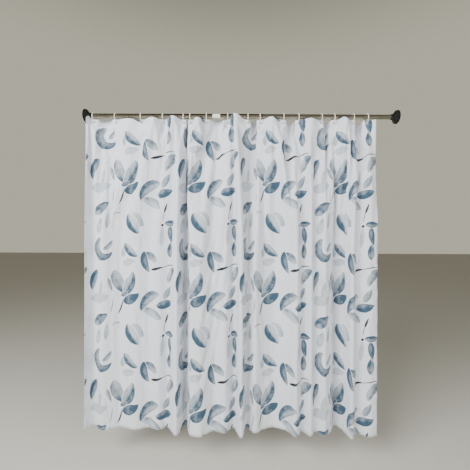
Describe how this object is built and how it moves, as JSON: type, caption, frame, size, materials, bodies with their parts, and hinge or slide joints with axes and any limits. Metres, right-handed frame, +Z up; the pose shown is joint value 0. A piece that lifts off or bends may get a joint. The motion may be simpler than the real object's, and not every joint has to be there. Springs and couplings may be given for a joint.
{
  "type": "shower curtain",
  "caption": "Leaf-printed fabric shower curtain, gathered on snap rings through eyelets, hung on a telescopic tension rod with rubber wall pads.",
  "frame": {"origin": "centre of the left wall pad's wall face, on the rod's axis", "axes": "+X along the rod from the left wall to the right one, +Y away from the side that shows the print, +Z up"},
  "size_m": [1.7953, 0.1258, 1.8586],
  "materials": {
    "printed_cloth": "matte",
    "ring_plastic": "satin",
    "eyelet_plastic": "satin",
    "rod_steel": "satin",
    "lock_plastic": "matte",
    "cap_plastic": "satin",
    "pad_rubber": "matte",
    "label_paper": "matte"
  },
  "bodies": {
    "rod_fixed": {"outer_tube": "rod_steel", "tube_trim": "lock_plastic", "left_end_cap": "cap_plastic", "left_wall_pad": "pad_rubber", "rod_label": "label_paper"},
    "rod_sliding": {"inner_tube": "rod_steel", "lock_core": "lock_plastic", "lock_cam": "lock_plastic", "right_end_cap": "cap_plastic", "right_wall_pad": "pad_rubber"},
    "curtain": {"curtain_sheet": "printed_cloth"},
    "hanger_01": {"curtain_ring_01": "ring_plastic", "eyelet_01": "eyelet_plastic"},
    "hanger_02": {"curtain_ring_02": "ring_plastic", "eyelet_02": "eyelet_plastic"},
    "hanger_03": {"curtain_ring_03": "ring_plastic", "eyelet_03": "eyelet_plastic"},
    "hanger_04": {"curtain_ring_04": "ring_plastic", "eyelet_04": "eyelet_plastic"},
    "hanger_05": {"curtain_ring_05": "ring_plastic", "eyelet_05": "eyelet_plastic"},
    "hanger_06": {"curtain_ring_06": "ring_plastic", "eyelet_06": "eyelet_plastic"},
    "hanger_07": {"curtain_ring_07": "ring_plastic", "eyelet_07": "eyelet_plastic"},
    "hanger_08": {"curtain_ring_08": "ring_plastic", "eyelet_08": "eyelet_plastic"},
    "hanger_09": {"curtain_ring_09": "ring_plastic", "eyelet_09": "eyelet_plastic"},
    "hanger_10": {"curtain_ring_10": "ring_plastic", "eyelet_10": "eyelet_plastic"},
    "hanger_11": {"curtain_ring_11": "ring_plastic", "eyelet_11": "eyelet_plastic"},
    "hanger_12": {"curtain_ring_12": "ring_plastic", "eyelet_12": "eyelet_plastic"},
    "hanger_13": {"curtain_ring_13": "ring_plastic", "eyelet_13": "eyelet_plastic"},
    "hanger_14": {"curtain_ring_14": "ring_plastic", "eyelet_14": "eyelet_plastic"},
    "hanger_15": {"curtain_ring_15": "ring_plastic", "eyelet_15": "eyelet_plastic"},
    "hanger_16": {"curtain_ring_16": "ring_plastic", "eyelet_16": "eyelet_plastic"}
  },
  "joints": [
    {"name": "rod_length", "type": "slide", "parent": "rod_fixed", "child": "rod_sliding", "axis": [1, 0, 0], "range_m": [-0.08, 0.2]},
    {"name": "curtain_swing", "type": "hinge", "parent": "rod_fixed", "child": "curtain", "pos_m": [0, 0, 0], "axis": [1, 0, 0], "range_deg": [-20, 20]},
    {"name": "curtain_draw", "type": "slide", "parent": "curtain", "child": "hanger_16", "axis": [1, 0, 0], "range_m": [-1.0411, 0], "deforming": ["curtain_sheet"]},
    {"name": "hanger_01_slide", "type": "slide", "parent": "curtain", "child": "hanger_01", "axis": [1, 0, 0], "range_m": [-0.0068, 0]},
    {"name": "hanger_02_slide", "type": "slide", "parent": "curtain", "child": "hanger_02", "axis": [1, 0, 0], "range_m": [-0.0904, 0]},
    {"name": "hanger_03_slide", "type": "slide", "parent": "curtain", "child": "hanger_03", "axis": [1, 0, 0], "range_m": [-0.187, 0]},
    {"name": "hanger_04_slide", "type": "slide", "parent": "curtain", "child": "hanger_04", "axis": [1, 0, 0], "range_m": [-0.2698, 0]},
    {"name": "hanger_05_slide", "type": "slide", "parent": "curtain", "child": "hanger_05", "axis": [1, 0, 0], "range_m": [-0.3473, 0]},
    {"name": "hanger_06_slide", "type": "slide", "parent": "curtain", "child": "hanger_06", "axis": [1, 0, 0], "range_m": [-0.3721, 0]},
    {"name": "hanger_07_slide", "type": "slide", "parent": "curtain", "child": "hanger_07", "axis": [1, 0, 0], "range_m": [-0.4342, 0]},
    {"name": "hanger_08_slide", "type": "slide", "parent": "curtain", "child": "hanger_08", "axis": [1, 0, 0], "range_m": [-0.5143, 0]},
    {"name": "hanger_09_slide", "type": "slide", "parent": "curtain", "child": "hanger_09", "axis": [1, 0, 0], "range_m": [-0.5906, 0]},
    {"name": "hanger_10_slide", "type": "slide", "parent": "curtain", "child": "hanger_10", "axis": [1, 0, 0], "range_m": [-0.6361, 0]},
    {"name": "hanger_11_slide", "type": "slide", "parent": "curtain", "child": "hanger_11", "axis": [1, 0, 0], "range_m": [-0.7253, 0]},
    {"name": "hanger_12_slide", "type": "slide", "parent": "curtain", "child": "hanger_12", "axis": [1, 0, 0], "range_m": [-0.7817, 0]},
    {"name": "hanger_13_slide", "type": "slide", "parent": "curtain", "child": "hanger_13", "axis": [1, 0, 0], "range_m": [-0.8686, 0]},
    {"name": "hanger_14_slide", "type": "slide", "parent": "curtain", "child": "hanger_14", "axis": [1, 0, 0], "range_m": [-0.9165, 0]},
    {"name": "hanger_15_slide", "type": "slide", "parent": "curtain", "child": "hanger_15", "axis": [1, 0, 0], "range_m": [-0.9883, 0]}
  ],
  "couplings": [
    {"joint": "hanger_01_slide", "follows": "curtain_draw", "ratio": 0.00634},
    {"joint": "hanger_02_slide", "follows": "curtain_draw", "ratio": 0.086601},
    {"joint": "hanger_03_slide", "follows": "curtain_draw", "ratio": 0.17941},
    {"joint": "hanger_04_slide", "follows": "curtain_draw", "ratio": 0.25892},
    {"joint": "hanger_05_slide", "follows": "curtain_draw", "ratio": 0.33338},
    {"joint": "hanger_06_slide", "follows": "curtain_draw", "ratio": 0.35724},
    {"joint": "hanger_07_slide", "follows": "curtain_draw", "ratio": 0.41687},
    {"joint": "hanger_08_slide", "follows": "curtain_draw", "ratio": 0.4938},
    {"joint": "hanger_09_slide", "follows": "curtain_draw", "ratio": 0.56712},
    {"joint": "hanger_10_slide", "follows": "curtain_draw", "ratio": 0.61077},
    {"joint": "hanger_11_slide", "follows": "curtain_draw", "ratio": 0.69645},
    {"joint": "hanger_12_slide", "follows": "curtain_draw", "ratio": 0.75066},
    {"joint": "hanger_13_slide", "follows": "curtain_draw", "ratio": 0.83415},
    {"joint": "hanger_14_slide", "follows": "curtain_draw", "ratio": 0.88008},
    {"joint": "hanger_15_slide", "follows": "curtain_draw", "ratio": 0.94912}
  ]
}
